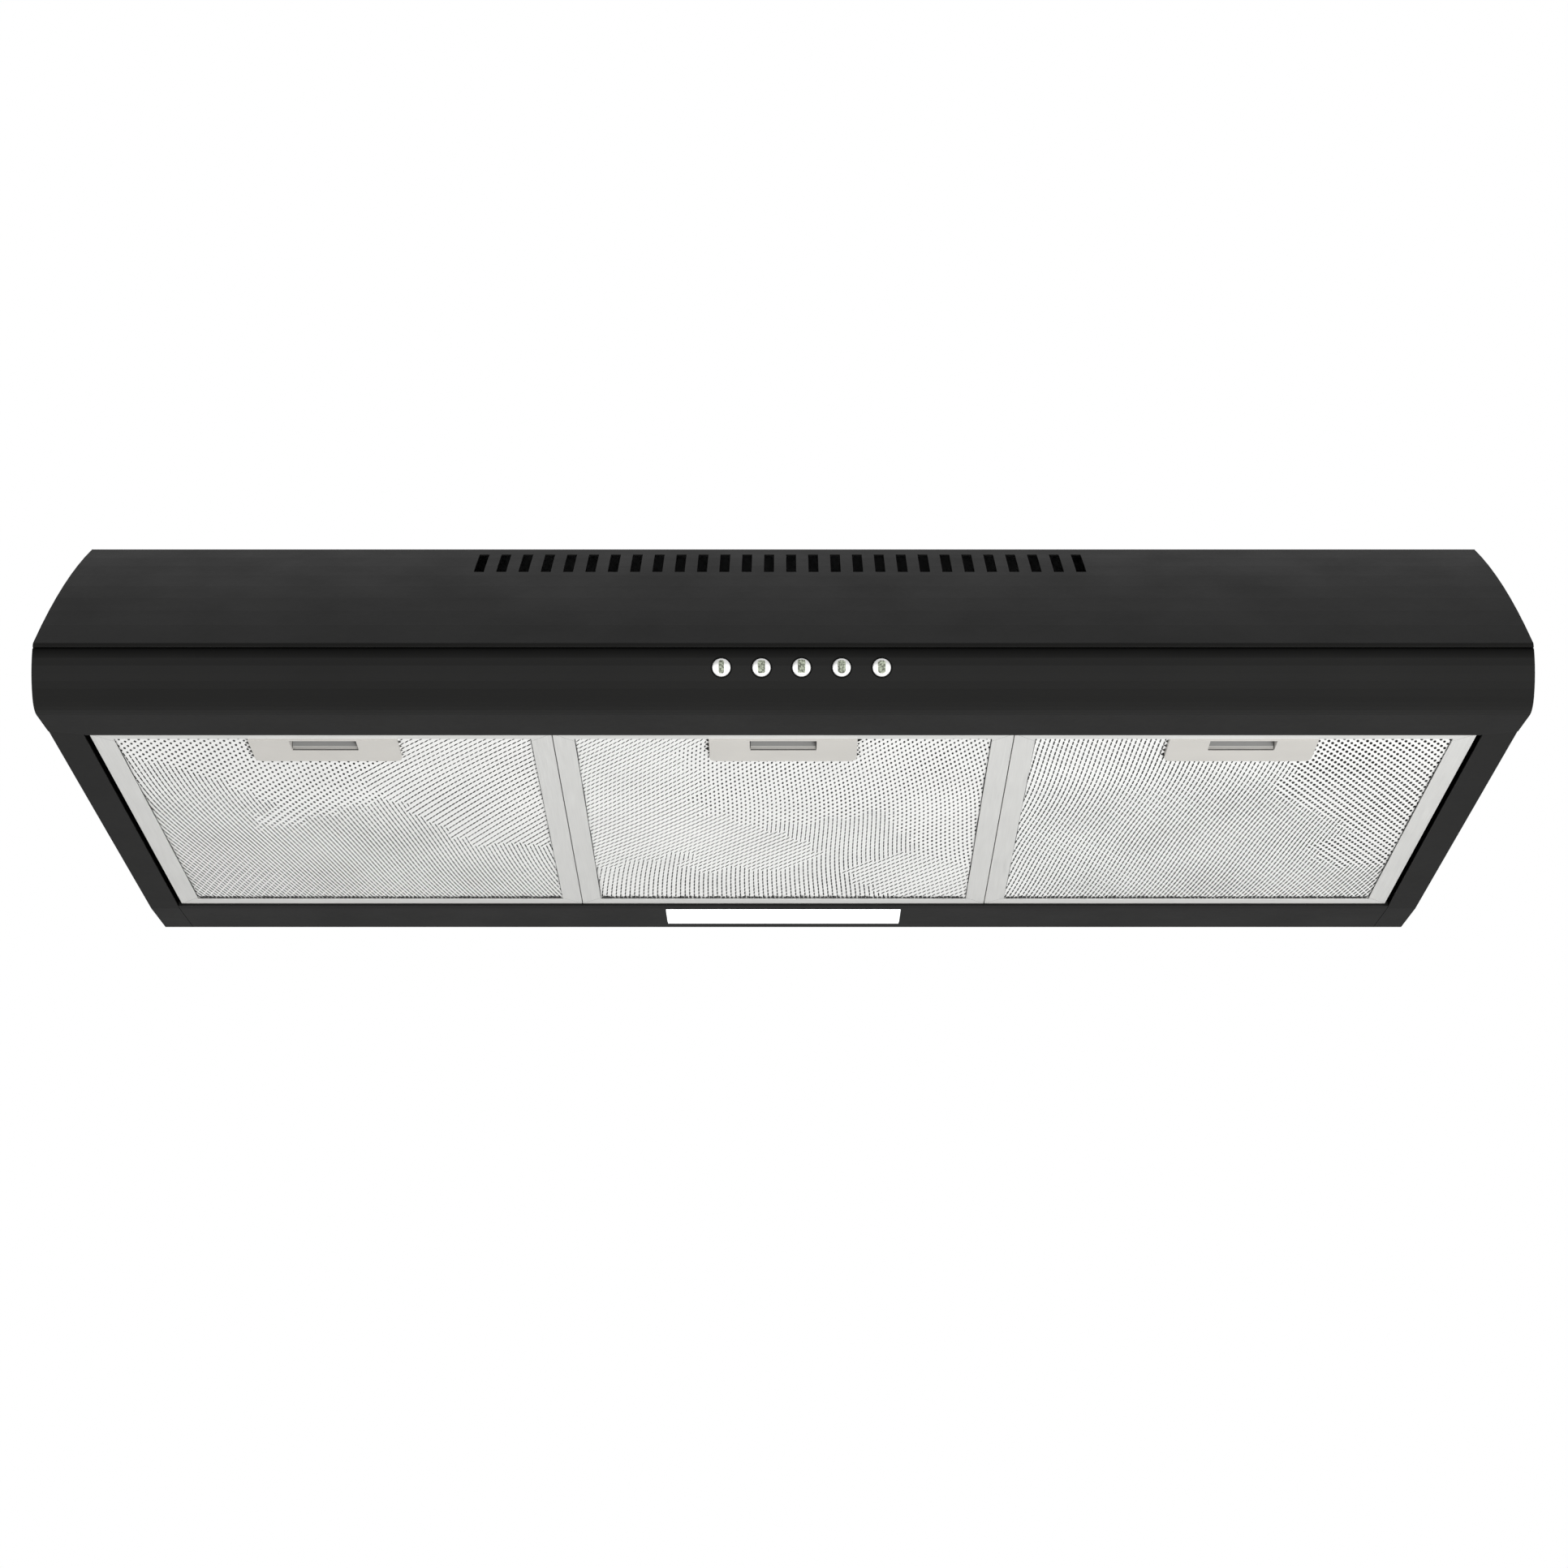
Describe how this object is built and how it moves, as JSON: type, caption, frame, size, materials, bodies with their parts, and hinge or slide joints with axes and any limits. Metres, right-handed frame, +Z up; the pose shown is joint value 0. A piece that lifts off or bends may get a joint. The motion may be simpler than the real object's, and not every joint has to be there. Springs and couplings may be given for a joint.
{
  "type": "under-cabinet range hood",
  "caption": "Slim under-cabinet range hood with a bowed slotted front, push buttons, drop-down mesh grease filters with finger latches, a rear lamp, an inner blower and a top duct collar.",
  "frame": {"origin": "the top mounting face, midway across the width and the depth", "axes": "+X to the right as seen by a cook, -Y to the front and +Y to the wall, +Z up"},
  "size_m": [0.9, 0.4813, 0.2149],
  "materials": {
    "black_enamel": "satin black stoved enamel",
    "galvanised": "dull zinc",
    "aluminium": "satin, brushed along its length",
    "filter_mesh": "expanded mesh",
    "latch_plastic": "light warm grey",
    "chrome": "bright",
    "lens": "frosted white",
    "bulb_glass": "opal",
    "grey_plastic": "moulded",
    "black_plastic": "moulded",
    "white_plastic": "moulded",
    "steel": "bright zinc",
    "rubber": "matt"
  },
  "bodies": {
    "hood": {"top_plate": "black_enamel", "front_cover": "black_enamel", "control_panel": "black_enamel", "side_panel_left": "black_enamel", "side_panel_right": "black_enamel", "rear_panel": "black_enamel", "rear_outlet_cover": "black_enamel", "lamp_panel": "black_enamel", "vent_deflector": "galvanised", "motor": "galvanised", "motor_bracket": "galvanised", "duct_collar": "galvanised", "button_bezel_light": "black_plastic", "button_bezel_off": "black_plastic", "button_bezel_low": "black_plastic", "button_bezel_medium": "black_plastic", "button_bezel_high": "black_plastic", "lamp_lens": "lens", "lamp_bulb": "bulb_glass", "switch_block": "grey_plastic", "blower_shell_left": "grey_plastic", "blower_shell_right": "grey_plastic", "junction_box": "grey_plastic", "junction_box_cover": "grey_plastic", "lamp_housing": "white_plastic", "lamp_socket": "white_plastic", "capacitor": "white_plastic", "inlet_guard": "steel", "damper_pin": "steel", "outlet_screw_left": "steel", "outlet_screw_right": "steel", "cable_grommet": "rubber", "motor_cable": "rubber", "lamp_cable": "rubber", "switch_cable": "rubber"},
    "button_light": {"button_light": "chrome"},
    "button_off": {"button_off": "chrome"},
    "button_low": {"button_low": "chrome"},
    "button_medium": {"button_medium": "chrome"},
    "button_high": {"button_high": "chrome"},
    "filter_left": {"filter_left_frame": "aluminium", "filter_left_mesh": "filter_mesh", "filter_left_latch_plate": "latch_plastic", "filter_left_latch_spring": "steel"},
    "latch_left": {"filter_left_latch": "latch_plastic"},
    "filter_middle": {"filter_middle_frame": "aluminium", "filter_middle_mesh": "filter_mesh", "filter_middle_latch_plate": "latch_plastic", "filter_middle_latch_spring": "steel"},
    "latch_middle": {"filter_middle_latch": "latch_plastic"},
    "filter_right": {"filter_right_frame": "aluminium", "filter_right_mesh": "filter_mesh", "filter_right_latch_plate": "latch_plastic", "filter_right_latch_spring": "steel"},
    "latch_right": {"filter_right_latch": "latch_plastic"},
    "blower_wheel": {"impeller": "galvanised", "motor_shaft": "steel"},
    "damper_front": {"damper_flap_front": "grey_plastic"},
    "damper_rear": {"damper_flap_rear": "grey_plastic"}
  },
  "joints": [
    {"name": "press_light", "type": "slide", "parent": "hood", "child": "button_light", "axis": [0, 0.9649, 0.2625], "range_m": [0, 0.003], "stiffness_N_per_m": 400, "springref_m": -0.001},
    {"name": "press_off", "type": "slide", "parent": "hood", "child": "button_off", "axis": [0, 0.9649, 0.2625], "range_m": [0, 0.003], "stiffness_N_per_m": 400, "springref_m": -0.001},
    {"name": "press_low", "type": "slide", "parent": "hood", "child": "button_low", "axis": [0, 0.9649, 0.2625], "range_m": [0, 0.003], "stiffness_N_per_m": 400, "springref_m": -0.001},
    {"name": "press_medium", "type": "slide", "parent": "hood", "child": "button_medium", "axis": [0, 0.9649, 0.2625], "range_m": [0, 0.003], "stiffness_N_per_m": 400, "springref_m": -0.001},
    {"name": "press_high", "type": "slide", "parent": "hood", "child": "button_high", "axis": [0, 0.9649, 0.2625], "range_m": [0, 0.003], "stiffness_N_per_m": 400, "springref_m": -0.001},
    {"name": "filter_left_swing", "type": "hinge", "parent": "hood", "child": "filter_left", "pos_m": [-0.2849, 0.1746, -0.1555], "axis": [1, 0, 0], "range_deg": [0, 70]},
    {"name": "latch_left_slide", "type": "slide", "parent": "filter_left", "child": "latch_left", "axis": [0, 1, 0], "range_m": [0, 0.006], "stiffness_N_per_m": 300, "springref_m": -0.002, "deforming": ["filter_left_latch_spring"]},
    {"name": "filter_middle_swing", "type": "hinge", "parent": "hood", "child": "filter_middle", "pos_m": [0, 0.1746, -0.1555], "axis": [1, 0, 0], "range_deg": [0, 70]},
    {"name": "latch_middle_slide", "type": "slide", "parent": "filter_middle", "child": "latch_middle", "axis": [0, 1, 0], "range_m": [0, 0.006], "stiffness_N_per_m": 300, "springref_m": -0.002, "deforming": ["filter_middle_latch_spring"]},
    {"name": "filter_right_swing", "type": "hinge", "parent": "hood", "child": "filter_right", "pos_m": [0.2849, 0.1746, -0.1555], "axis": [1, 0, 0], "range_deg": [0, 70]},
    {"name": "latch_right_slide", "type": "slide", "parent": "filter_right", "child": "latch_right", "axis": [0, 1, 0], "range_m": [0, 0.006], "stiffness_N_per_m": 300, "springref_m": -0.002, "deforming": ["filter_right_latch_spring"]},
    {"name": "wheel_spin", "type": "hinge", "parent": "hood", "child": "blower_wheel", "pos_m": [0, 0.098, -0.074], "axis": [1, 0, 0], "continuous": true},
    {"name": "damper_front_swing", "type": "hinge", "parent": "hood", "child": "damper_front", "pos_m": [0, 0.125, 0.008], "axis": [-1, 0, 0], "range_deg": [0, 80]},
    {"name": "damper_rear_swing", "type": "hinge", "parent": "hood", "child": "damper_rear", "pos_m": [0, 0.125, 0.008], "axis": [1, 0, 0], "range_deg": [0, 80]}
  ]
}
